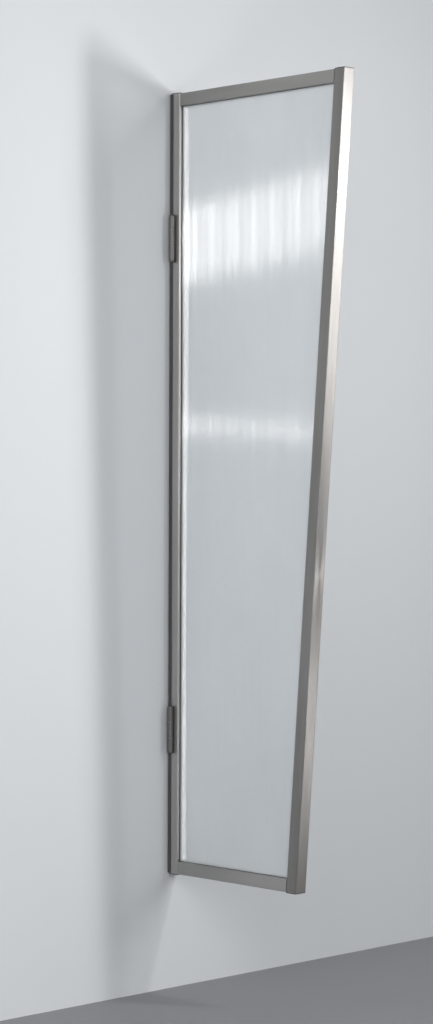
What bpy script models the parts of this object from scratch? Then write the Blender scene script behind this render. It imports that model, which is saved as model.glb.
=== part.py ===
"""Hinged side screen panel: a trapezoid frame of box tube around a pane, hung on a wall by two hinges.

Metres. The origin is on the wall, at the middle of the lower hinge and on the wall post's centre line.
+X runs along the wall, +Y goes into it and +Z is up. At rest the panel stands straight out, along -Y.
It folds about the hinge pins, clockwise seen from above, until it lies flat along the wall towards -X.
"""

import math

import bmesh
import bpy
from mathutils import Matrix, Vector
from mathutils.geometry import intersect_line_line, tessellate_polygon

# Driving dimensions

HEIGHT = 2.000
TOP_WIDTH = 0.600
BOTTOM_WIDTH = 0.450
WALL_GAP = 0.006
HINGE_INSET = 0.370

TUBE = 0.033
TUBE_DEPTH = 0.036
TUBE_WALL = 0.002
TUBE_CORNER = 0.0022
GROOVE_WIDTH = 0.0096
GROOVE_DEPTH = 0.013
GROOVE_WALL = 0.0015

PANE = 0.004
PANE_GRIP = 0.008
PANE_X = -0.0064
GASKET_WALL = 0.0022
GASKET_BACK = 0.0015
GASKET_LIP = 0.0003
GASKET_LIP_WIDTH = 0.0100
BEAD_WIDTH = 0.0140
BEAD_HEIGHT = 0.0040
BEAD_RIM = 0.0008
SETTING_BLOCK_LENGTH = 0.060

SEAL_WIDTH = 0.030
SEAL_WALL = 0.0012
SEAL_SKIRT = 0.009
SEAL_SKIN = 0.0008
SEAL_CORNER = 0.0012
SEAL_OFF_WALL = 0.0006
SEAL_END_GAP = 0.001

CAP = 0.0015
CAP_PRONG = 0.016
CAP_PRONG_INNER = 0.0069
KEY_WIDTH = 0.012
KEY_POST_LEG = 0.045
KEY_RAIL_LEG = 0.040
KEY_SCREW_INSET = 0.022

HINGE_LENGTH = 0.110
HINGE_AXIS_Y = -0.0185
BARREL_RADIUS = 0.0072
PIN_RADIUS = 0.0035
LEAF = 0.002
LEAF_HALF_WIDTH = 0.013
CENTRE_KNUCKLE = 0.040
WASHER = 0.001
TIP_HEIGHT = 0.007
TIP_STUB = 0.0045
LEG_CLEAR = 0.0005

SCREW_HEAD = 0.0038
SCREW_SHANK = 0.0020
SCREW_RIM = 0.0002
SCREW_SOCKET = 0.0014
WALL_SCREW_LENGTH = 0.045
FRAME_SCREW_LENGTH = 0.010
KEY_SCREW_LENGTH = 0.012
SCREW_PITCH = 0.038
SCREW_STAGGER = 0.005

FIT = 0.0003
BARREL_STEPS = 24
SMALL_STEPS = 12
CORNER_STEPS = 3
BEND_STEPS = 4

# Worked out from them

BOTTOM = -HINGE_INSET
TOP = BOTTOM + HEIGHT
UPPER_HINGE = HEIGHT - 2 * HINGE_INSET
SLANT = math.atan2(TOP_WIDTH - BOTTOM_WIDTH, HEIGHT)
GROOVE_FLOOR = TUBE - GROOVE_DEPTH
PANE_EDGE = TUBE - PANE_GRIP
GASKET_FLOOR = GROOVE_FLOOR + FIT
GASKET_HALF = GROOVE_WIDTH / 2 - FIT
LIP_TOP = TUBE + FIT + GASKET_LIP
BEAD_TOP = TUBE + FIT + BEAD_HEIGHT
KEY_NEAR = TUBE_WALL + FIT
KEY_FAR = GROOVE_FLOOR - GROOVE_WALL - FIT
HOLE = SCREW_SHANK + 1.4 * FIT
KNUCKLE_GAP = CENTRE_KNUCKLE / 2 + WASHER + 2 * FIT
PIN_BORE = PIN_RADIUS + FIT
LEG_X = -TUBE_DEPTH / 2 - LEG_CLEAR
HINGE_AXIS_X = LEG_X - BARREL_RADIUS
FRAME_LEAF_Y = -WALL_GAP + FIT + LEAF

X, Y, Z = Vector((1, 0, 0)), Vector((0, 1, 0)), Vector((0, 0, 1))
ORIGIN = Vector((0, 0, 0))


# Scene and materials


def clear_scene():
    for obj in list(bpy.data.objects):
        bpy.data.objects.remove(obj, do_unlink=True)


def finish(name, colour, roughness, metallic, alpha=1.0):
    material = bpy.data.materials.new(name)
    material.use_nodes = True
    shader = material.node_tree.nodes["Principled BSDF"]
    shader.inputs["Base Color"].default_value = (*colour, 1.0)
    shader.inputs["Roughness"].default_value = roughness
    shader.inputs["Metallic"].default_value = metallic
    shader.inputs["Alpha"].default_value = alpha
    return material


def pivot(name, place):
    empty = bpy.data.objects.new(name, None)
    empty.matrix_basis = Matrix.Translation(place)
    bpy.context.scene.collection.objects.link(empty)
    return empty


def piece(name, mesh, material, body, place=Matrix.Identity(4)):
    """A named sub-part that belongs to the body whose empty is given."""
    obj = bpy.data.objects.new(name, mesh)
    bpy.context.scene.collection.objects.link(obj)
    if not mesh.materials:
        mesh.materials.append(material)
    obj.parent = body
    obj.matrix_parent_inverse = body.matrix_basis.inverted()
    obj.matrix_basis = place
    return obj


def combine(target, mesh, place=Matrix.Identity(4), operation="DIFFERENCE"):
    """Cuts a hidden shape out of target, or joins it on."""
    tool = bpy.data.objects.new(f"{mesh.name}_tool", mesh)
    bpy.context.scene.collection.objects.link(tool)
    tool.matrix_basis = place
    tool.hide_render = True
    tool.display_type = "WIRE"
    modifier = target.modifiers.new(mesh.name, "BOOLEAN")
    modifier.operation = operation
    modifier.solver = "EXACT"
    modifier.object = tool


# Shapes


def arc(centre_a, centre_b, radius, start, end, steps):
    """Points of an arc in a plane, from start to end in degrees, both ends included."""
    points = []
    for step in range(steps + 1):
        angle = math.radians(start + (end - start) * step / steps)
        points.append((centre_a + radius * math.cos(angle), centre_b + radius * math.sin(angle)))
    return points


def circle(centre_a, centre_b, radius, steps):
    return arc(centre_a, centre_b, radius, 0, 360, steps)[:-1]


def mesh_from(name, bm):
    bmesh.ops.remove_doubles(bm, verts=bm.verts, dist=1e-6)
    bmesh.ops.recalc_face_normals(bm, faces=bm.faces)
    mesh = bpy.data.meshes.new(name)
    bm.to_mesh(mesh)
    bm.free()
    mesh.shade_smooth()
    mesh.set_sharp_from_angle(angle=math.radians(35))
    return mesh


def prism(name, loops, origin, a_axis, b_axis, near, far):
    """A closed prism. loops are (a, b) outlines, the outer one first and any holes after it.

    near and far are its end planes, each a point and a normal, so an end may be cut at a slant.
    """
    bm = bmesh.new()
    direction = a_axis.cross(b_axis)
    ends = []
    for point, normal in (near, far):
        rings = []
        for loop in loops:
            ring = []
            for a, b in loop:
                base = origin + a_axis * a + b_axis * b
                travel = (point - base).dot(normal) / direction.dot(normal)
                ring.append(bm.verts.new(base + direction * travel))
            rings.append(ring)
        ends.append(rings)
    flat = [[Vector((a, b, 0)) for a, b in loop] for loop in loops]
    for rings in ends:
        corners = [corner for ring in rings for corner in ring]
        for triangle in tessellate_polygon(flat):
            bm.faces.new([corners[index] for index in triangle])
    for near_ring, far_ring in zip(*ends):
        for index, corner in enumerate(near_ring):
            before = index - 1
            bm.faces.new((near_ring[before], corner, far_ring[index], far_ring[before]))
    return mesh_from(name, bm)


def slab(name, corners, half_width):
    """A flat shape in the panel's plane, with its corners at X = 0, as thick as twice half_width."""
    loop = [(corner.y, corner.z) for corner in corners]
    return prism(name, [loop], ORIGIN, Y, Z, (-X * half_width, X), (X * half_width, X))


def turned(name, profile, steps, closed=False):
    """A shape turned about +Z from (radius, height) points."""
    bm = bmesh.new()
    line = [bm.verts.new((radius, 0, height)) for radius, height in profile]
    pairs = list(zip(line, line[1:]))
    if closed:
        pairs.append((line[-1], line[0]))
    edges = [bm.edges.new(pair) for pair in pairs]
    bmesh.ops.spin(
        bm, geom=line + edges, cent=ORIGIN, axis=Z, angle=2 * math.pi, steps=steps, use_merge=True
    )
    return mesh_from(name, bm)


# Frame members


class Member:
    """A straight bar of the frame. Inward runs from its outer face, at 0, towards the pane."""

    def __init__(self, origin, inward, along):
        self.origin = Vector(origin)
        self.inward = Vector(inward)
        self.along = Vector(along)

    def line(self, inward):
        start = self.origin + self.inward * inward
        return start, start + self.along

    def plane(self, inward):
        return self.origin + self.inward * inward, self.inward

    def prism(self, name, loops, near, far):
        """A prism along the bar. Its loops are (x, inward) outlines."""
        return prism(name, loops, self.origin, X, self.inward, near, far)


def meet(one, one_inward, other, other_inward):
    """The point where two bars' lines cross, each at its own distance inward."""
    return intersect_line_line(*one.line(one_inward), *other.line(other_inward))[0]


def horizontal(z):
    return Vector((0, 0, z)), Z


WALL_POST = Member((0, -WALL_GAP, 0), (0, -1, 0), (0, 0, 1))
OUTER_POST = Member(
    (0, -WALL_GAP - BOTTOM_WIDTH, BOTTOM),
    (0, math.cos(SLANT), math.sin(SLANT)),
    (0, -math.sin(SLANT), math.cos(SLANT)),
)
TOP_RAIL = Member((0, 0, TOP), (0, 0, -1), (0, -1, 0))
BOTTOM_RAIL = Member((0, 0, BOTTOM), (0, 0, 1), (0, -1, 0))

POSTS = {"wall": WALL_POST, "outer": OUTER_POST}
RAILS = {"top": (TOP_RAIL, TOP, 1), "bottom": (BOTTOM_RAIL, BOTTOM, -1)}
ENDS = (horizontal(BOTTOM), horizontal(TOP))


def between_posts(inward):
    """The two planes at this distance inward of the posts, where something spans from post to post."""
    return WALL_POST.plane(inward), OUTER_POST.plane(inward)


def between_rails(inward):
    return BOTTOM_RAIL.plane(inward), TOP_RAIL.plane(inward)


def tube_outline(notch=()):
    """The tube's rounded rectangle, with an optional notch in its inner face."""
    half, far, turn = TUBE_DEPTH / 2 - TUBE_CORNER, TUBE - TUBE_CORNER, TUBE_CORNER
    outline = arc(half, turn, turn, -90, 0, CORNER_STEPS)
    outline += arc(half, far, turn, 0, 90, CORNER_STEPS)
    outline += notch
    outline += arc(-half, far, turn, 90, 180, CORNER_STEPS)
    outline += arc(-half, turn, turn, 180, 270, CORNER_STEPS)
    return outline


def tube_section():
    """Box tube with a glazing groove in its inner face and a hollow that wraps round the groove."""
    left, right = PANE_X - GROOVE_WIDTH / 2, PANE_X + GROOVE_WIDTH / 2
    notch = [(right, TUBE), (right, GROOVE_FLOOR), (left, GROOVE_FLOOR), (left, TUBE)]
    side = TUBE_DEPTH / 2 - TUBE_WALL
    box_left, box_right = left - GROOVE_WALL, right + GROOVE_WALL
    floor = GROOVE_FLOOR - GROOVE_WALL
    rim = TUBE - TUBE_WALL
    hollow = [(-side, TUBE_WALL), (side, TUBE_WALL), (side, rim), (box_right, rim)]
    hollow += [(box_right, floor), (box_left, floor), (box_left, rim), (-side, rim)]
    return [tube_outline(notch), hollow]


def gasket_section():
    """A rubber channel round the pane's edge, with a lip that lies on the tube's inner face."""
    mouth = PANE / 2 + FIT
    lip = GASKET_LIP_WIDTH / 2
    rim = TUBE + FIT
    floor = GASKET_FLOOR + GASKET_BACK
    half = [(GASKET_HALF, GASKET_FLOOR), (GASKET_HALF, rim), (lip, rim), (lip, LIP_TOP)]
    half += [(mouth, LIP_TOP), (mouth, floor)]
    whole = half + [(-x, inward) for x, inward in reversed(half)]
    return [[(PANE_X + x, inward) for x, inward in whole]]


def bead_section():
    """A white bead in the corner behind the pane. It covers the gasket's rear lip and slopes down to the tube."""
    pane_side, back = PANE / 2 + FIT, PANE / 2 + FIT + BEAD_WIDTH
    step = GASKET_LIP_WIDTH / 2 + FIT
    foot = TUBE + FIT
    section = [(pane_side, LIP_TOP + FIT), (pane_side, BEAD_TOP), (back, foot + BEAD_RIM), (back, foot)]
    section += [(step, foot), (step, LIP_TOP + FIT)]
    return [[(PANE_X + x, inward) for x, inward in section]]


def key_notch(name, post, rail):
    """The opening at a post's end that lets a corner key pass through into the rail."""
    near, far = KEY_FAR - FIT, TUBE + FIT
    beyond, deep = -FIT * 4, KEY_FAR + FIT
    corners = [
        meet(post, near, rail, beyond),
        meet(post, far, rail, beyond),
        meet(post, far, rail, deep),
        meet(post, near, rail, deep),
    ]
    return slab(name, corners, KEY_WIDTH / 2 + FIT)


def frame_members(body, steel):
    made = {}
    for label, post in POSTS.items():
        mesh = post.prism(f"{label}_post", tube_section(), *ENDS)
        made[label] = piece(f"{label}_post", mesh, steel, body)
        for end, (rail, _, _) in RAILS.items():
            combine(made[label], key_notch(f"{label}_post_{end}_notch", post, rail))
    for label, (rail, _, _) in RAILS.items():
        mesh = rail.prism(f"{label}_rail", tube_section(), *between_posts(TUBE + FIT))
        made[label] = piece(f"{label}_rail", mesh, steel, body)
    return made


# Glazing


def glazing(body, acrylic, rubber, nylon, white):
    corners = [
        meet(WALL_POST, PANE_EDGE, BOTTOM_RAIL, PANE_EDGE),
        meet(OUTER_POST, PANE_EDGE, BOTTOM_RAIL, PANE_EDGE),
        meet(OUTER_POST, PANE_EDGE, TOP_RAIL, PANE_EDGE),
        meet(WALL_POST, PANE_EDGE, TOP_RAIL, PANE_EDGE),
    ]
    place = Matrix.Translation((PANE_X, 0, 0))
    piece("glazing_pane", slab("glazing_pane", corners, PANE / 2), acrylic, body, place)
    for label, post in POSTS.items():
        mesh = post.prism(f"{label}_gasket", gasket_section(), *between_rails(TUBE + FIT))
        piece(f"{label}_gasket", mesh, rubber, body)
        mesh = post.prism(f"{label}_bead", bead_section(), *between_rails(LIP_TOP + FIT))
        piece(f"{label}_bead", mesh, white, body)
    for label, (rail, _, _) in RAILS.items():
        mesh = rail.prism(f"{label}_gasket", gasket_section(), *between_posts(LIP_TOP + FIT))
        piece(f"{label}_gasket", mesh, rubber, body)
        mesh = rail.prism(f"{label}_bead", bead_section(), *between_posts(BEAD_TOP + FIT))
        piece(f"{label}_bead", mesh, white, body)
    setting_blocks(body, nylon)
    wall_seals(body, rubber)


def setting_blocks(body, nylon):
    """Two blocks in the bottom gasket, a quarter of the way in from each post, carry the pane."""
    start = meet(WALL_POST, TUBE, BOTTOM_RAIL, TUBE).y
    end = meet(OUTER_POST, TUBE, BOTTOM_RAIL, TUBE).y
    low = GASKET_FLOOR + GASKET_BACK + FIT
    high = PANE_EDGE - FIT
    left, right = PANE_X - PANE / 2, PANE_X + PANE / 2
    section = [[(right, low), (right, high), (left, high), (left, low)]]
    for label, share in (("wall", 0.25), ("outer", 0.75)):
        middle = start + (end - start) * share
        half = SETTING_BLOCK_LENGTH / 2
        near = (Vector((0, middle - half, 0)), Y)
        far = (Vector((0, middle + half, 0)), Y)
        mesh = BOTTOM_RAIL.prism(f"{label}_setting_block", section, near, far)
        piece(f"{label}_setting_block", mesh, nylon, body)


def wall_seals(body, rubber):
    """A rubber strip closes the gap to the wall, except at the hinges. It is a hollow bulb on the post's back,
    with a skirt that wraps round the post's two rear edges.
    """
    half, turn = SEAL_WIDTH / 2, SEAL_CORNER
    near, far = FIT, WALL_GAP - SEAL_OFF_WALL
    inside = TUBE_DEPTH / 2 + FIT
    outside, ledge = inside + SEAL_SKIN, near + SEAL_SKIN
    right = [(inside, near), (inside, -SEAL_SKIRT), (outside, -SEAL_SKIRT), (outside, ledge), (half, ledge)]
    right += arc(half - turn, far - turn, turn, 0, 90, CORNER_STEPS)
    outline = right + [(-x, y) for x, y in reversed(right)]
    side = half - SEAL_WALL
    hollow = [(-side, near + SEAL_WALL), (side, near + SEAL_WALL)]
    hollow += [(side, far - SEAL_WALL), (-side, far - SEAL_WALL)]
    clear = HINGE_LENGTH / 2 + SEAL_END_GAP
    spans = (
        ("bottom", BOTTOM + SEAL_END_GAP, -clear),
        ("middle", clear, UPPER_HINGE - clear),
        ("top", UPPER_HINGE + clear, TOP - SEAL_END_GAP),
    )
    back = Vector((0, -WALL_GAP, 0))
    for spot, low, high in spans:
        name = f"{spot}_wall_seal"
        mesh = prism(name, [outline, hollow], back, X, Y, horizontal(low), horizontal(high))
        piece(name, mesh, rubber, body)


# End caps and corner joints


def end_caps(body, plastic):
    """A cap on each post end: a plate over the tube and two prongs down its hollow, beside the corner key."""
    near, far = KEY_NEAR, KEY_FAR
    for post_label, post in POSTS.items():
        for end, (_, level, up) in RAILS.items():
            name = f"{post_label}_post_{end}_cap"
            low, high = horizontal(level + up * FIT), horizontal(level + up * (FIT + CAP))
            cap = piece(name, post.prism(name, [tube_outline()], low, high), plastic, body)
            low, high = horizontal(level - up * CAP_PRONG), horizontal(level + up * CAP / 2)
            for side_label, side in (("left", -1), ("right", 1)):
                root, tip = side * CAP_PRONG_INNER, side * (TUBE_DEPTH / 2 - KEY_NEAR)
                loop = [(root, near), (tip, near), (tip, far), (root, far)]
                prong = post.prism(f"{name}_{side_label}_prong", [loop], low, high)
                combine(cap, prong, operation="UNION")


def countersink(name):
    """The cutter of a countersunk hole, point down, with the surface at height 0."""
    above, through = 0.001, 0.008
    cone = SCREW_HEAD + SCREW_RIM + 1.4 * FIT
    step = cone - HOLE
    profile = [(0, -through), (HOLE, -through), (HOLE, -step), (cone + above, above), (0, above)]
    return turned(name, profile, SMALL_STEPS)


def drill(name, depth):
    """The cutter of a plain hole, from just above height 0 down to depth."""
    above = 0.001
    return turned(name, [(0, -depth), (HOLE, -depth), (HOLE, above), (0, above)], SMALL_STEPS)


def screw(name, length):
    """A countersunk screw, point down, with the top of its head at height 0."""
    point = 0.002
    cone = SCREW_HEAD + SCREW_RIM - SCREW_SHANK
    profile = [(0, -SCREW_SOCKET), (SCREW_SOCKET, 0), (SCREW_HEAD, 0), (SCREW_HEAD, -SCREW_RIM)]
    profile += [(SCREW_SHANK, -cone), (SCREW_SHANK, -length + point), (0, -length)]
    return turned(name, profile, SMALL_STEPS)


def aimed(place, direction):
    """Stands a screw at place, pointing along direction."""
    turn = (-Vector(direction)).to_track_quat("Z", "X").to_matrix().to_4x4()
    return Matrix.Translation(place) @ turn


def corner_keys(body, members, aluminium, screw_steel):
    """An L-shaped key joins each rail to each post. One screw through the rail's outer face holds it."""
    key_screw = screw("key_screw", KEY_SCREW_LENGTH)
    for post_label, post in POSTS.items():
        for end, (rail, level, up) in RAILS.items():
            name = f"{end}_{post_label}_corner_key"
            away = 1 if post is OUTER_POST else -1
            foot = Member((0, 0, level - up * KEY_POST_LEG), (0, 0, -up), (0, 1, 0))
            inner_face = meet(post, TUBE, rail, 0)
            nose_y = inner_face.y + away * KEY_RAIL_LEG
            nose = Member((0, nose_y, 0), (0, away, 0), (0, 0, 1))
            corners = [
                meet(post, KEY_NEAR, rail, KEY_NEAR),
                meet(nose, 0, rail, KEY_NEAR),
                meet(nose, 0, rail, KEY_FAR),
                meet(post, KEY_FAR, rail, KEY_FAR),
                meet(post, KEY_FAR, foot, 0),
                meet(post, KEY_NEAR, foot, 0),
            ]
            key = piece(name, slab(name, corners, KEY_WIDTH / 2), aluminium, body)
            place = aimed((0, inner_face.y + away * KEY_SCREW_INSET, level), rail.inward)
            combine(members[end], countersink(f"{name}_countersink"), place)
            combine(key, drill(f"{name}_hole", TUBE), place)
            piece(f"{end}_{post_label}_corner_screw", key_screw, screw_steel, body, place)


# Hinges


def leaf_section(plate_y, inner_bend):
    """A leaf seen from above: plate, right-angled bend, leg, and the knuckle rolled round the pin.

    plate_y is the face of the plate that is nearer the wall.
    """
    outer_bend = inner_bend + LEAF
    bend_x, bend_y = LEG_X + inner_bend, plate_y - outer_bend
    leg_left = LEG_X - LEAF - HINGE_AXIS_X
    joins_at = math.degrees(math.acos(leg_left / BARREL_RADIUS))
    outline = [(LEAF_HALF_WIDTH, plate_y)]
    outline += arc(bend_x, bend_y, outer_bend, 90, 180, BEND_STEPS)
    outline += arc(HINGE_AXIS_X, HINGE_AXIS_Y, BARREL_RADIUS, joins_at, 360, BARREL_STEPS)
    outline += [(LEG_X, HINGE_AXIS_Y)]
    outline += arc(bend_x, bend_y, inner_bend, 180, 90, BEND_STEPS)
    outline += [(LEAF_HALF_WIDTH, plate_y - LEAF)]
    return [outline, circle(HINGE_AXIS_X, HINGE_AXIS_Y, PIN_BORE, BARREL_STEPS)]


def leaf(name, plate_y, inner_bend):
    half = HINGE_LENGTH / 2
    ends = (horizontal(-half), horizontal(half))
    return prism(name, leaf_section(plate_y, inner_bend), ORIGIN, X, Y, *ends)


def knuckle_cutter(name, low, high):
    """Clears the barrel side of a leaf between two heights, for the other leaf's knuckle."""
    left, right = HINGE_AXIS_X - 2 * BARREL_RADIUS, -LEAF_HALF_WIDTH
    front, back = HINGE_AXIS_Y - 2 * BARREL_RADIUS, BARREL_RADIUS
    loop = [(left, front), (right, front), (right, back), (left, back)]
    return prism(name, [loop], ORIGIN, X, Y, horizontal(low), horizontal(high))


def hinge(label, level, bodies, members, looks):
    fixed, moving = bodies
    steel, screw_steel, nylon = looks
    place = Matrix.Translation(Vector((0, 0, level)))
    half = HINGE_LENGTH / 2
    over = 0.001

    wall_leaf = piece(f"{label}_wall_leaf", leaf(f"{label}_wall_leaf", 0, LEAF), steel, fixed, place)
    combine(wall_leaf, knuckle_cutter(f"{label}_wall_leaf_gap", -KNUCKLE_GAP, KNUCKLE_GAP), place)

    mesh = leaf(f"{label}_frame_leaf", FRAME_LEAF_Y, TUBE_CORNER + FIT)
    frame_leaf = piece(f"{label}_frame_leaf", mesh, steel, moving, place)
    for end, up in (("top", 1), ("bottom", -1)):
        low, high = sorted((up * CENTRE_KNUCKLE / 2, up * (half + over)))
        combine(frame_leaf, knuckle_cutter(f"{label}_frame_leaf_{end}_gap", low, high), place)

    axis = place @ Matrix.Translation((HINGE_AXIS_X, HINGE_AXIS_Y, 0))
    hinge_pin(label, axis, fixed, screw_steel, nylon)

    screws = (("top", 1, 1), ("middle", 0, -1), ("bottom", -1, 1))
    for spot, up, side in screws:
        x, z = side * SCREW_STAGGER, level + up * SCREW_PITCH
        into_wall = aimed((x, -LEAF, z), Y)
        name = f"{label}_wall_screw_{spot}"
        combine(wall_leaf, countersink(f"{name}_hole"), into_wall)
        piece(name, screw(name, WALL_SCREW_LENGTH), screw_steel, fixed, into_wall)
        into_post = aimed((x, FRAME_LEAF_Y, z), -Y)
        name = f"{label}_frame_screw_{spot}"
        combine(frame_leaf, countersink(f"{name}_hole"), into_post)
        combine(members["wall"], drill(f"{name}_post_hole", FRAME_SCREW_LENGTH), into_post)
        piece(name, screw(name, FRAME_SCREW_LENGTH), screw_steel, moving, into_post)


def hinge_pin(label, axis, fixed, steel, nylon):
    """The pin, a washer above and below the middle knuckle, and a domed tip at each end."""
    half = HINGE_LENGTH / 2
    pin_half = half - TIP_STUB - FIT
    profile = [(0, -pin_half), (PIN_RADIUS, -pin_half), (PIN_RADIUS, pin_half), (0, pin_half)]
    piece(f"{label}_hinge_pin", turned(f"{label}_hinge_pin", profile, BARREL_STEPS), steel, fixed, axis)

    low, high = CENTRE_KNUCKLE / 2 + FIT, CENTRE_KNUCKLE / 2 + FIT + WASHER
    rim = BARREL_RADIUS - FIT
    ring = [(PIN_BORE, low), (rim, low), (rim, high), (PIN_BORE, high)]
    base, dome = half + FIT, half + TIP_HEIGHT
    tip = [(0, half - TIP_STUB), (PIN_RADIUS, half - TIP_STUB), (PIN_RADIUS, base), (rim, base)]
    tip += [(rim * 0.95, base + TIP_HEIGHT * 0.3), (rim * 0.6, dome - TIP_HEIGHT * 0.12), (0, dome)]
    flip = Matrix.Rotation(math.pi, 4, "X")
    for end, turn in (("top", Matrix.Identity(4)), ("bottom", flip)):
        name = f"{label}_washer_{end}"
        piece(name, turned(name, ring, BARREL_STEPS, closed=True), nylon, fixed, axis @ turn)
        name = f"{label}_pin_tip_{end}"
        piece(name, turned(name, tip, BARREL_STEPS), steel, fixed, axis @ turn)


def build():
    clear_scene()
    brushed = finish("brushed_stainless", (0.56, 0.54, 0.52), 0.34, 1.0)
    hinge_steel = finish("hinge_steel", (0.50, 0.49, 0.48), 0.38, 1.0)
    screw_steel = finish("screw_steel", (0.60, 0.60, 0.60), 0.30, 1.0)
    acrylic = finish("satin_acrylic", (0.82, 0.85, 0.87), 0.35, 0.0, alpha=0.6)
    rubber = finish("gasket_rubber", (0.05, 0.05, 0.05), 0.80, 0.0)
    plastic = finish("cap_plastic", (0.07, 0.07, 0.075), 0.55, 0.0)
    nylon = finish("grey_nylon", (0.24, 0.24, 0.25), 0.50, 0.0)
    white_plastic = finish("bead_plastic", (0.88, 0.88, 0.87), 0.35, 0.0)
    aluminium = finish("cast_aluminium", (0.70, 0.70, 0.71), 0.50, 1.0)

    wall_side = pivot("wall_side", ORIGIN)
    panel = pivot("panel_pivot", Vector((HINGE_AXIS_X, HINGE_AXIS_Y, 0)))

    members = frame_members(panel, brushed)
    glazing(panel, acrylic, rubber, nylon, white_plastic)
    end_caps(panel, plastic)
    corner_keys(panel, members, aluminium, screw_steel)
    for label, level in (("lower", 0), ("upper", UPPER_HINGE)):
        hinge(label, level, (wall_side, panel), members, (hinge_steel, screw_steel, nylon))


build()
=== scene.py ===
"""Looks of the hinged side screen panel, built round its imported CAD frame.

Metres, in the frame's own axes: the wall is the plane Y = 0, +Z is up and the panel stands out along -Y.
"""

import math

import bmesh
import bpy
from mathutils import Matrix, Vector


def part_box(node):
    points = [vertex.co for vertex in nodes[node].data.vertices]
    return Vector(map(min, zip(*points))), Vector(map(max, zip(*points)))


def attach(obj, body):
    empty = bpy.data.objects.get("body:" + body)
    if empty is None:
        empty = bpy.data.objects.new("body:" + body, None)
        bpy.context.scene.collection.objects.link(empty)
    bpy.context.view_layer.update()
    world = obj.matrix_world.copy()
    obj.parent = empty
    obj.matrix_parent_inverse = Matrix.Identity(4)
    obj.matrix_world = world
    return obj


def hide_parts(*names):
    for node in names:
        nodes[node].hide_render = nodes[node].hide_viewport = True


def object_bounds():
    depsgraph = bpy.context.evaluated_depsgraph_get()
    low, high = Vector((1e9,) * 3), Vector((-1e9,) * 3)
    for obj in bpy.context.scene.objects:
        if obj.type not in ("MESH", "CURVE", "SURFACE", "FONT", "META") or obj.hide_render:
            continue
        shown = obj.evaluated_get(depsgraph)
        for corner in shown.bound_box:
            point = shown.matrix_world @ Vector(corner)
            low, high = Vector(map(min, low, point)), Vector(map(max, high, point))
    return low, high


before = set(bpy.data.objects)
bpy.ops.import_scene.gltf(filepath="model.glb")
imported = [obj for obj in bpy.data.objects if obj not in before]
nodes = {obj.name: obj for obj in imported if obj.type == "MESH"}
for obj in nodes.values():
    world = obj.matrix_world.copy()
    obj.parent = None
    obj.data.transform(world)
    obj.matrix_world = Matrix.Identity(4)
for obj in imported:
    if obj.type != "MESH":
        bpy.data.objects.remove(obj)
cad_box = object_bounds()

# Driving dimensions

RIB_PITCH = 0.0036
RIB_DEPTH = 0.00055
RIB_STEPS = 8
RIPPLE = 0.00011
RIPPLE_WAVES = ((131, 2), (211, 0), (337, 4), (563, 1))
SWELL = 0.25
SWELL_WAVES = ((149, 0), (61, 1))
CORNER_COLUMN = 0.0001

WARP_LOW, WARP_LOW_AT = -0.02, 0.78
WARP_HIGH, WARP_HIGH_AT = 0.125, 1.27

EDGE_ROUND = 0.00025
CAP_ROUND = 0.0009

SHANK_RADIUS = 0.0020
HEAD_RADIUS = 0.0038
HEAD_RIM = 0.0002
HEAD_EASE = 0.0001
NECK_RADIUS = 0.9 * SHANK_RADIUS
POINT = 0.0020
POINT_RADIUS = 0.0001
BLUNTNESS = 0.12
THREAD_PITCH = 0.0016
THREAD_DEPTH = 0.0004
THREAD_RINGS = 5
RECESS_RADIUS = 0.0016
RECESS_MOUTH = 1.06 * RECESS_RADIUS
RECESS_FOOT = 0.95 * RECESS_RADIUS
RECESS_FLOOR = 0.8 * RECESS_RADIUS
RECESS_DEPTH = 0.0013
RECESS_FOOT_DEPTH = 0.8 * RECESS_DEPTH
LOBES = 6
LOBE_MEAN, LOBE_SWING = 0.92, 0.12
SCREW_STEPS = 20

STUB_RADIUS = 0.0035
STUB_LENGTH = 0.0045
STUB_EASE = 0.0004
TIP_EASE = 0.0003
GROOVE_START, GROOVE_FLOOR_START, GROOVE_FLOOR_END = 0.0012, 0.0014, 0.0017
GROOVE_DEPTH = 0.0005
DOME_START = 0.0019
DOME_INSET = 0.0001
DOME_FLAT = 0.0002
DOME_STEP = 10
TIP_STEPS = 40

# The wall stands a hair behind the leaves' backs, so that the two faces don't coincide.
WALL_Y = 0.0004
FLOOR_BELOW_PANEL = 0.2975
FLOOR_REACH = 30
FLOOR_GREY = (0.295, 0.30, 0.31)
FLOOR_GLOW = 0.42
GLOW_START, GLOW_FULL = 3.5, 11
BACKDROP_HALF = 14
BACKDROP_TOP = 9

SKY_COLOUR = (0.90, 0.95, 1.0, 1)
SKY_LIGHT, SKY_SEEN = 0.13, 0.62

LENS = 86.59
SENSOR = 36.0
CAMERA_PLACE = (-4.3964, -4.5785, 0.6272)
CAMERA_YAW, CAMERA_PITCH, CAMERA_ROLL = -44.8487, -0.6133, -0.2124

Y, Z = Vector((0, 1, 0)), Vector((0, 0, 1))


# Reading the frame


def outer_corner(node, level):
    """The Y of a node's outermost corner at a level."""
    return min(vertex.co.y for vertex in nodes[node].data.vertices if abs(vertex.co.z - level) < 1e-4)


PANE_LOW, PANE_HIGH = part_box("glazing_pane")
PANE_OUTER_BOTTOM = outer_corner("glazing_pane", PANE_LOW.z)
PANE_OUTER_TOP = outer_corner("glazing_pane", PANE_HIGH.z)
PANE_HEIGHT = PANE_HIGH.z - PANE_LOW.z
PANE_MIDDLE = (PANE_LOW.x + PANE_HIGH.x) / 2
PANE_HALF = (PANE_HIGH.x - PANE_LOW.x) / 2
SLANT = math.atan2(PANE_OUTER_BOTTOM - PANE_OUTER_TOP, PANE_HEIGHT)


# Mesh tools


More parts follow.
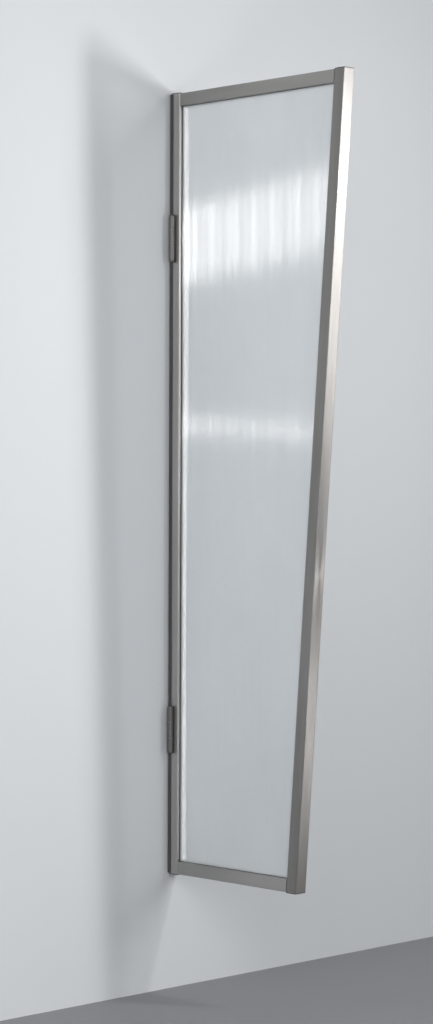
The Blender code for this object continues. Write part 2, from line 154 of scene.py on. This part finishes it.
def mesh_from(name, bm, smooth_angle=35):
    """A mesh that is smooth except at edges sharper than an angle in degrees."""
    bmesh.ops.recalc_face_normals(bm, faces=bm.faces)
    mesh = bpy.data.meshes.new(name)
    bm.to_mesh(mesh)
    bm.free()
    mesh.shade_smooth()
    mesh.set_sharp_from_angle(angle=math.radians(smooth_angle))
    return mesh


def turned(name, rings, steps):
    """A solid turned about Z. A ring is a height and a function that gives the radius for each angle."""
    bm = bmesh.new()
    rows = []
    for height, radius in rings:
        row = []
        for step in range(steps):
            angle = 2 * math.pi * step / steps
            out = radius(angle)
            row.append(bm.verts.new((out * math.cos(angle), out * math.sin(angle), height)))
        rows.append(row)
    for one, other in zip(rows, rows[1:]):
        for index in range(steps):
            bm.faces.new((one[index - 1], one[index], other[index], other[index - 1]))
    bm.faces.new(rows[0])
    bm.faces.new(rows[-1])
    return mesh_from(name, bm)


def add_piece(name, mesh, look, body, replaced):
    """A finished piece that rides on a body and stands for a CAD node."""
    obj = bpy.data.objects.new(name, mesh)
    bpy.context.scene.collection.objects.link(obj)
    mesh.materials.append(look)
    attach(obj, body)
    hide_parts(replaced)
    return obj


# Materials


class Look:
    """A node material under construction."""

    def __init__(self, name, **inputs):
        self.material = bpy.data.materials.new(name)
        self.material.use_nodes = True
        self.tree = self.material.node_tree
        self.shader = self.tree.nodes["Principled BSDF"]
        for key, value in inputs.items():
            self.shader.inputs[key.replace("_", " ")].default_value = value

    def node(self, kind, **settings):
        made = self.tree.nodes.new(kind)
        for key, value in settings.items():
            setattr(made, key, value)
        return made

    def link(self, source, target):
        self.tree.links.new(source, target)

    def place(self, scale, turn=(0, 0, 0)):
        """Object coordinates, turned and then scaled, so that a pattern can run along a bar."""
        coordinates = self.node("ShaderNodeTexCoord")
        mapping = self.node("ShaderNodeMapping", vector_type="TEXTURE")
        mapping.inputs["Rotation"].default_value = turn
        mapping.inputs["Scale"].default_value = [1 / value for value in scale]
        self.link(coordinates.outputs["Object"], mapping.inputs["Vector"])
        return mapping.outputs["Vector"]

    def noise(self, vector, detail=2.0, roughness=0.5):
        made = self.node("ShaderNodeTexNoise")
        made.inputs["Scale"].default_value = 1.0
        made.inputs["Detail"].default_value = detail
        made.inputs["Roughness"].default_value = roughness
        self.link(vector, made.inputs["Vector"])
        return made.outputs["Fac"]

    def range(self, value, low, high, start=0.3, end=0.7):
        """Maps value from start..end to low..high."""
        made = self.node("ShaderNodeMapRange")
        made.inputs["From Min"].default_value = start
        made.inputs["From Max"].default_value = end
        made.inputs["To Min"].default_value = low
        made.inputs["To Max"].default_value = high
        self.link(value, made.inputs["Value"])
        return made.outputs["Result"]

    def blend(self, share, one, other):
        """A colour between two colours."""
        made = self.node("ShaderNodeMix", data_type="RGBA")
        self.link(share, made.inputs[0])
        made.inputs[6].default_value = (*one, 1)
        made.inputs[7].default_value = (*other, 1)
        return made.outputs[2]

    def bump(self, height, distance):
        made = self.node("ShaderNodeBump")
        made.inputs["Distance"].default_value = distance
        made.inputs["Strength"].default_value = 1.0
        self.link(height, made.inputs["Height"])
        self.link(made.outputs["Normal"], self.shader.inputs["Normal"])
        return made

    def warp(self):
        """The normal of a slightly warped sheet, which tips more, the further it is from the wall."""
        place = self.node("ShaderNodeSeparateXYZ")
        self.link(self.place((1, 1, 1)), place.inputs["Vector"])
        lean = self.range(place.outputs["Z"], WARP_LOW, WARP_HIGH, WARP_LOW_AT, WARP_HIGH_AT)
        tip = self.node("ShaderNodeMath", operation="MULTIPLY")
        self.link(place.outputs["Y"], tip.inputs[0])
        self.link(lean, tip.inputs[1])
        lift = self.node("ShaderNodeCombineXYZ")
        self.link(tip.outputs["Value"], lift.inputs["Z"])
        face = self.node("ShaderNodeNewGeometry")
        total = self.node("ShaderNodeVectorMath", operation="ADD")
        self.link(face.outputs["Normal"], total.inputs[0])
        self.link(lift.outputs["Vector"], total.inputs[1])
        return total.outputs["Vector"]

    def set(self, name, value):
        self.link(value, self.shader.inputs[name])

    def colour(self, share, one, other):
        """Gives the base colour a drift between two colours."""
        self.set("Base Color", self.blend(self.range(share, 0, 1), one, other))


def brushed_steel(name, along, darker, lighter, turn=0.0, roughness=0.40):
    """Stainless steel brushed along one axis: its highlights spread across the grain. The colours darker
    and lighter bound a random drift, and each part's pair is also its painted light or shade tone.
    """
    look = Look(name, Metallic=1.0, Anisotropic=0.45)
    grain = {"Z": (900, 900, 7), "Y": (900, 7, 900)}[along]
    cloud = {"Z": (30, 30, 3), "Y": (30, 3, 30)}[along]
    lines = look.noise(look.place(grain, (turn, 0, 0)), detail=4, roughness=0.7)
    drift = look.noise(look.place(cloud, (turn, 0, 0)), detail=2)
    look.colour(drift, darker, lighter)
    look.set("Roughness", look.range(lines, roughness - 0.06, roughness + 0.08))
    look.bump(lines, 0.00002)
    tangent = look.node("ShaderNodeTangent", direction_type="RADIAL", axis=along)
    look.set("Tangent", tangent.outputs["Tangent"])
    return look.material


def ribbed_acrylic():
    """Pale translucent acrylic, a little cooler and clearer in upright streaks."""
    look = Look("ribbed_acrylic", IOR=1.49, Alpha=0.5, Anisotropic=1.0)
    streaks = look.noise(look.place((90, 90, 1.2)), detail=3, roughness=0.6)
    haze = look.noise(look.place((4, 4, 1.5)), detail=1)
    look.colour(haze, (0.84, 0.875, 0.90), (0.90, 0.935, 0.96))
    look.set("Roughness", look.range(streaks, 0.17, 0.27))
    waves = look.noise(look.place((170, 170, 9)), detail=3)
    bump = look.bump(waves, 0.0004)
    look.link(look.warp(), bump.inputs["Normal"])
    tangent = look.node("ShaderNodeTangent", direction_type="RADIAL", axis="Z")
    look.set("Tangent", tangent.outputs["Tangent"])
    return look.material


def rubber(name, darker, lighter):
    """Matt rubber with a fine grain."""
    look = Look(name, IOR=1.5)
    grain = look.noise(look.place((1500, 1500, 1500)), detail=3)
    drift = look.noise(look.place((40, 40, 8)), detail=2)
    look.colour(drift, darker, lighter)
    look.set("Roughness", look.range(grain, 0.55, 0.80))
    look.bump(grain, 0.00004)
    return look.material


def moulded_plastic():
    """Dark polyamide with a fine spark-eroded grain."""
    look = Look("cap_plastic", IOR=1.5)
    grain = look.noise(look.place((2200, 2200, 2200)), detail=2)
    drift = look.noise(look.place((60, 60, 60)), detail=2)
    look.colour(drift, (0.055, 0.055, 0.058), (0.075, 0.075, 0.078))
    look.set("Roughness", look.range(grain, 0.42, 0.62))
    look.bump(grain, 0.00005)
    return look.material


def nylon():
    """Grey moulded nylon."""
    look = Look("grey_nylon", IOR=1.53)
    grain = look.noise(look.place((900, 900, 900)), detail=2)
    look.colour(grain, (0.20, 0.20, 0.21), (0.27, 0.27, 0.28))
    look.set("Roughness", look.range(grain, 0.40, 0.58))
    look.bump(grain, 0.00003)
    return look.material


def white_plastic():
    """Smooth white plastic. Its white is a painted highlight: beside the pane on the wall post it stands in
    for the brightly lit inner face of the steel.
    """
    look = Look("bead_plastic", IOR=1.5)
    fine = look.noise(look.place((300, 300, 300)), detail=2)
    look.colour(fine, (0.92, 0.92, 0.91), (0.96, 0.96, 0.95))
    look.set("Roughness", look.range(fine, 0.26, 0.38))
    look.bump(fine, 0.00002)
    return look.material


def cast_aluminium():
    """Aluminium with a rough cast skin."""
    look = Look("cast_aluminium", Metallic=1.0)
    skin = look.noise(look.place((700, 700, 700)), detail=4, roughness=0.65)
    drift = look.noise(look.place((80, 80, 80)), detail=2)
    look.colour(drift, (0.60, 0.60, 0.61), (0.72, 0.72, 0.72))
    look.set("Roughness", look.range(skin, 0.42, 0.66))
    look.bump(skin, 0.0001)
    return look.material


def screw_steel():
    """Bright plain steel."""
    look = Look("screw_steel", Metallic=1.0)
    fine = look.noise(look.place((1800, 1800, 1800)), detail=3)
    look.colour(fine, (0.52, 0.51, 0.50), (0.62, 0.61, 0.60))
    look.set("Roughness", look.range(fine, 0.22, 0.40))
    look.bump(fine, 0.00002)
    return look.material


# Pieces


def ribbed_pane(look):
    """The pane with an upright rib every few millimetres on both faces, and a slow irregular ripple."""
    bm = bmesh.new()
    width = PANE_HIGH.y - PANE_LOW.y
    count = round(width / RIB_PITCH) * RIB_STEPS
    bottom_width = PANE_HIGH.y - PANE_OUTER_BOTTOM
    columns = []
    for index in range(count + 1):
        along = width * index / count
        rib = 0.5 - 0.5 * math.cos(2 * math.pi * along / RIB_PITCH)
        swell = 1 - SWELL + SWELL * math.prod(math.sin(along * rate + shift) for rate, shift in SWELL_WAVES)
        ripple = sum(math.sin(along * rate + shift) for rate, shift in RIPPLE_WAVES) / len(RIPPLE_WAVES)
        half = PANE_HALF - RIB_DEPTH * (1 - rib) * swell - RIPPLE * (1 + ripple)
        front, back = PANE_MIDDLE - half, PANE_MIDDLE + half
        climb = max(0.0, along - bottom_width) / max(width - bottom_width, 1e-9) * PANE_HEIGHT
        y, low = PANE_HIGH.y - along, PANE_LOW.z + climb
        low = min(low, PANE_HIGH.z - CORNER_COLUMN)
        corners = ((front, y, low), (front, y, PANE_HIGH.z), (back, y, PANE_HIGH.z), (back, y, low))
        columns.append([bm.verts.new(corner) for corner in corners])
    for one, other in zip(columns, columns[1:]):
        for side in range(4):
            after = (side + 1) % 4
            bm.faces.new((one[side], one[after], other[after], other[side]))
    bm.faces.new(columns[0])
    bm.faces.new(columns[-1])
    mesh = mesh_from("ribbed_pane", bm, 60)
    return add_piece("ribbed_pane", mesh, look, "panel", "glazing_pane")


def screw(node, point, look, body):
    """A countersunk screw with a six-lobe recess and a rolled thread, driven towards point."""
    lo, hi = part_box(node)
    length = abs((hi - lo).dot(point))
    middle = (lo + hi) / 2
    cone = HEAD_RADIUS + HEAD_RIM - SHANK_RADIUS

    def plain(radius):
        return lambda angle: radius

    def lobed(radius):
        return lambda angle: radius * (LOBE_MEAN + LOBE_SWING * math.cos(LOBES * angle))

    def threaded(height, scale):
        def radius(angle):
            turn = (height / THREAD_PITCH - angle / (2 * math.pi)) % 1
            return scale * (SHANK_RADIUS - THREAD_DEPTH * abs(2 * turn - 1))
        return radius

    rings = [
        (-RECESS_DEPTH, lobed(RECESS_FLOOR)),
        (-RECESS_FOOT_DEPTH, lobed(RECESS_FOOT)),
        (-HEAD_EASE, lobed(RECESS_RADIUS)),
        (0, lobed(RECESS_MOUTH)),
        (0, plain(HEAD_RADIUS - HEAD_EASE)),
        (-HEAD_EASE, plain(HEAD_RADIUS)),
        (-HEAD_RIM, plain(HEAD_RADIUS)),
        (-cone, plain(SHANK_RADIUS)),
        (-cone - THREAD_PITCH / 2, plain(NECK_RADIUS)),
    ]
    height = -cone - THREAD_PITCH
    while height > -length + HEAD_EASE:
        taper = min(1.0, BLUNTNESS + (height + length) / POINT)
        rings.append((height, threaded(height, taper)))
        height -= THREAD_PITCH / THREAD_RINGS
    rings.append((-length, plain(POINT_RADIUS)))
    mesh = turned(f"threaded_{node}", rings, SCREW_STEPS)
    turn = (-point).to_track_quat("Z", "X").to_matrix().to_4x4()
    mesh.transform(Matrix.Translation(middle - point * (length / 2)) @ turn)
    return add_piece(f"threaded_{node}", mesh, look, body, node)


def screws(look):
    """Each screw's name says which way it is driven: into the wall, the post or a rail."""
    for node in list(nodes):
        if "_wall_screw" in node:
            screw(node, Y, look, "wall_side")
        elif "_frame_screw" in node:
            screw(node, -Y, look, "panel")
        elif node.startswith("top") and node.endswith("_screw"):
            screw(node, -Z, look, "panel")
        elif node.endswith("_screw"):
            screw(node, Z, look, "panel")


def pin_tips(look):
    """A domed tip with a turned groove below its dome, at each end of each hinge pin."""
    for node in list(nodes):
        if "_pin_tip_" not in node:
            continue
        lo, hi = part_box(node)
        middle = (lo + hi) / 2
        rim = (hi.x - lo.x) / 2
        rise = hi.z - lo.z - STUB_LENGTH
        dome = rim - DOME_INSET
        outline = [
            (-STUB_LENGTH, STUB_RADIUS - STUB_EASE),
            (-STUB_LENGTH + STUB_EASE, STUB_RADIUS),
            (0, STUB_RADIUS),
            (0, rim - TIP_EASE),
            (TIP_EASE, rim),
            (GROOVE_START, rim),
            (GROOVE_FLOOR_START, rim - GROOVE_DEPTH),
            (GROOVE_FLOOR_END, rim - GROOVE_DEPTH),
            (DOME_START, dome),
        ]
        for degrees in range(DOME_STEP, 90, DOME_STEP):
            angle = math.radians(degrees)
            outline.append((DOME_START + (rise - DOME_START) * math.sin(angle), dome * math.cos(angle)))
        outline.append((rise, DOME_FLAT))
        rings = [(height, lambda angle, radius=radius: radius) for height, radius in outline]
        mesh = turned(f"turned_{node}", rings, TIP_STEPS)
        up = 1 if node.endswith("top") else -1
        if up < 0:
            mesh.transform(Matrix.Rotation(math.pi, 4, "X"))
        base = (lo.z if up > 0 else hi.z) + up * STUB_LENGTH
        mesh.transform(Matrix.Translation((middle.x, middle.y, base)))
        add_piece(f"turned_{node}", mesh, look, "wall_side", node)


def dress_cad(looks):
    """Gives each CAD node that stays its own finish and eased edges."""
    for name, node in nodes.items():
        if name == "glazing_pane" or "screw" in name or "_pin_tip_" in name:
            continue
        if name in ("wall_post", "outer_post", "top_rail", "bottom_rail"):
            finish = looks[name]
        elif name.endswith("gasket"):
            finish = looks["gasket"]
        elif name.endswith("seal"):
            finish = looks["seal"]
        elif name.endswith("bead"):
            finish = looks["bead"]
        elif name.endswith("_cap"):
            finish = looks["plastic"]
        elif name.endswith("_key"):
            finish = looks["aluminium"]
        elif "washer" in name or "block" in name:
            finish = looks["nylon"]
        else:
            finish = looks["hinge"]
        node.data.materials.clear()
        node.data.materials.append(finish)
        ease = node.modifiers.new("eased edges", "BEVEL")
        ease.width = CAP_ROUND if name.endswith("_cap") else EDGE_ROUND
        ease.segments = 2
        ease.limit_method = "ANGLE"
        ease.angle_limit = math.radians(40)


# Stage, light and camera


def sheet(name, corners, look):
    """One flat face of the stage."""
    bm = bmesh.new()
    bm.faces.new([bm.verts.new(corner) for corner in corners])
    mesh = bpy.data.meshes.new(name)
    bm.to_mesh(mesh)
    bm.free()
    mesh.materials.append(look)
    obj = bpy.data.objects.new(name, mesh)
    bpy.context.scene.collection.objects.link(obj)
    return obj


def floor_look():
    """Plain grey, with a painted glow that only the camera sees and that grows far away, so that the floor
    doesn't end in the dark.
    """
    floor = Look("floor", Roughness=0.6)
    drift = floor.noise(floor.place((3, 3, 3)), detail=2)
    floor.colour(drift, [value * 0.985 for value in FLOOR_GREY], FLOOR_GREY)
    far = floor.node("ShaderNodeVectorMath", operation="LENGTH")
    floor.link(floor.place((1, 1, 1)), far.inputs[0])
    # Painted glow: the floor emits light that only camera rays see, more the further away it is.
    ray = floor.node("ShaderNodeLightPath")
    painted_glow = floor.node("ShaderNodeMath", operation="MULTIPLY")
    floor.link(floor.range(far.outputs["Value"], 0, FLOOR_GLOW, GLOW_START, GLOW_FULL), painted_glow.inputs[0])
    floor.link(ray.outputs["Is Camera Ray"], painted_glow.inputs[1])
    floor.set("Emission Strength", painted_glow.outputs["Value"])
    floor.shader.inputs["Emission Color"].default_value = (0.92, 0.96, 1.0, 1)
    return floor.material


def wall_look():
    """Plain paint with painted shade, a little darker towards +X where less light falls, and clear from
    behind.
    """
    wall = Look("backdrop", Roughness=0.8)
    along = wall.node("ShaderNodeSeparateXYZ")
    wall.link(wall.place((1, 1, 1)), along.inputs["Vector"])
    # Painted shade: the base colour darkens from X = -0.5 to X = 0.6.
    share = wall.range(along.outputs["X"], 0, 1, -0.5, 0.6)
    wall.set("Base Color", wall.blend(share, (0.82, 0.84, 0.86), (0.70, 0.72, 0.74)))
    geometry = wall.node("ShaderNodeNewGeometry")
    clear = wall.node("ShaderNodeBsdfTransparent")
    mix = wall.node("ShaderNodeMixShader")
    wall.link(geometry.outputs["Backfacing"], mix.inputs[0])
    wall.link(wall.shader.outputs[0], mix.inputs[1])
    wall.link(clear.outputs[0], mix.inputs[2])
    wall.link(mix.outputs[0], wall.tree.nodes["Material Output"].inputs["Surface"])
    return wall.material


def level_sheet(name, near, far, height, look):
    """A floor sheet from one Y to another."""
    corners = [(-FLOOR_REACH, near), (FLOOR_REACH, near), (FLOOR_REACH, far), (-FLOOR_REACH, far)]
    return sheet(name, [(x, y, height) for x, y in corners], look)


def studio():
    """A floor in two sheets, in front of the wall and behind it, and the wall. Returns the rear sheet."""
    floor_z = cad_box[0].z - FLOOR_BELOW_PANEL
    floor = floor_look()
    level_sheet("floor", -FLOOR_REACH, WALL_Y, floor_z, floor)
    rear_floor = level_sheet("rear_floor", WALL_Y, FLOOR_REACH, floor_z, floor)
    ends = [(-BACKDROP_HALF, floor_z), (BACKDROP_HALF, floor_z), (BACKDROP_HALF, BACKDROP_TOP),
            (-BACKDROP_HALF, BACKDROP_TOP)]
    sheet("backdrop", [(x, WALL_Y, z) for x, z in ends], wall_look())
    return rear_floor


def softbox(name, place, target, size, power, only=(), glint=False):
    """An area light turned to a target. It can light only some objects, and a glint is only mirrored."""
    light = bpy.data.lights.new(name, "AREA")
    light.shape = "RECTANGLE"
    light.size, light.size_y = size
    light.energy = power
    obj = bpy.data.objects.new(name, light)
    bpy.context.scene.collection.objects.link(obj)
    obj.location = place
    obj.rotation_euler = (Vector(place) - Vector(target)).to_track_quat("Z", "Y").to_euler()
    obj.visible_camera = False
    obj.visible_diffuse = not glint
    if only:
        lit = bpy.data.collections.new(name + " lights")
        for receiver in only:
            lit.objects.link(receiver)
        obj.light_linking.receiver_collection = lit
        if glint:
            obj.light_linking.blocker_collection = lit


def lighting(pane, rear_floor):
    """The lamps, and a dim sky that the camera alone sees brighter."""
    world = bpy.data.worlds.new("studio")
    bpy.context.scene.world = world
    world.use_nodes = True
    tree = world.node_tree
    sky = tree.nodes["Background"]
    sky.inputs["Color"].default_value = SKY_COLOUR
    ray = tree.nodes.new("ShaderNodeLightPath")
    level = tree.nodes.new("ShaderNodeMapRange")
    level.inputs["To Min"].default_value = SKY_LIGHT
    level.inputs["To Max"].default_value = SKY_SEEN
    tree.links.new(ray.outputs["Is Camera Ray"], level.inputs["Value"])
    tree.links.new(level.outputs["Result"], sky.inputs["Strength"])
    softbox("lamp", (0.60, -1.85, 1.42), (0, -0.2, 0.9), (0.12, 0.23), 11)
    softbox("key", (1.75, -4.2, 2.0), (0, -0.3, 0.9), (0.9, 2.6), 64)
    softbox("left", (-3.6, -3.4, 2.2), (-0.8, 0, 0.8), (2.5, 2.5), 76)
    softbox("low fill", (-2.2, -3.6, 0.0), (-0.2, 0, 0.1), (1.5, 1.0), 20)
    edges = [nodes["outer_post"], nodes["wall_post"]]
    softbox("rim", (1.9, -2.4, 1.10), (0, -0.4, 0.9), (0.6, 1.2), 20, only=edges)
    softbox("low rim", (1.9, -2.4, -0.5), (0, -0.4, -0.4), (0.6, 0.3), 9, only=edges)
    softbox("upper band", (-0.9, 0.7, 1.345), (0, -0.2, 1.25), (0.07, 0.22), 17, only=[pane], glint=True)
    softbox("lower band", (-0.9, 0.7, 0.81), (0, -0.2, 0.78), (0.07, 0.04), 3.2, only=[pane], glint=True)
    softbox("kicker", (-1.0, -2.2, 0.4), (0, -0.05, 0.4), (0.2, 3.6), 450, only=[nodes["wall_bead"]])
    softbox("rear", (1.2, 3.2, 2.2), (0, -0.3, 0.6), (2.5, 2.5), 260, only=[*nodes.values(), pane])
    softbox("rear floor", (0, 5, 7), (0, 5, 0), (6, 6), 700, only=[rear_floor])


def camera():
    """The photo's camera."""
    data = bpy.data.cameras.new("camera")
    obj = bpy.data.objects.new("camera", data)
    bpy.context.scene.collection.objects.link(obj)
    bpy.context.scene.camera = obj
    data.lens, data.sensor_width = LENS, SENSOR
    data.clip_start, data.clip_end = 0.1, 100
    yaw = Matrix.Rotation(math.radians(CAMERA_YAW), 4, "Z")
    pitch = Matrix.Rotation(math.pi / 2 + math.radians(CAMERA_PITCH), 4, "X")
    roll = Matrix.Rotation(-math.radians(CAMERA_ROLL), 4, "Z")
    obj.matrix_world = Matrix.Translation(CAMERA_PLACE) @ yaw @ pitch @ roll


# The posts, rails and hinges are one stainless steel. Their different base tones are painted light and
# shade: lit and shaded copies of the steel, each part as bright or dark as the light falls on it, and the
# hinges darkened to damp their highlight.
looks = {
    "wall_post": brushed_steel("wall_post_steel", "Z", (0.46, 0.44, 0.42), (0.52, 0.505, 0.49)),
    "outer_post": brushed_steel("outer_post_steel", "Z", (0.25, 0.24, 0.23), (0.30, 0.29, 0.28), SLANT),
    "top_rail": brushed_steel("top_rail_steel", "Y", (0.34, 0.325, 0.31), (0.39, 0.38, 0.365)),
    "bottom_rail": brushed_steel("bottom_rail_steel", "Y", (0.40, 0.385, 0.37), (0.45, 0.44, 0.425)),
    "hinge": brushed_steel("hinge_steel", "Z", (0.19, 0.185, 0.18), (0.24, 0.23, 0.225), roughness=0.52),
    "gasket": rubber("gasket_rubber", (0.022, 0.022, 0.023), (0.036, 0.036, 0.037)),
    "seal": rubber("seal_rubber", (0.065, 0.065, 0.066), (0.095, 0.095, 0.097)),
    "plastic": moulded_plastic(),
    "nylon": nylon(),
    "bead": white_plastic(),
    "aluminium": cast_aluminium(),
}
pane = ribbed_pane(ribbed_acrylic())
screws(screw_steel())
pin_tips(looks["hinge"])
dress_cad(looks)
rear_floor = studio()
lighting(pane, rear_floor)
camera()
bpy.context.scene.view_settings.view_transform = "Standard"
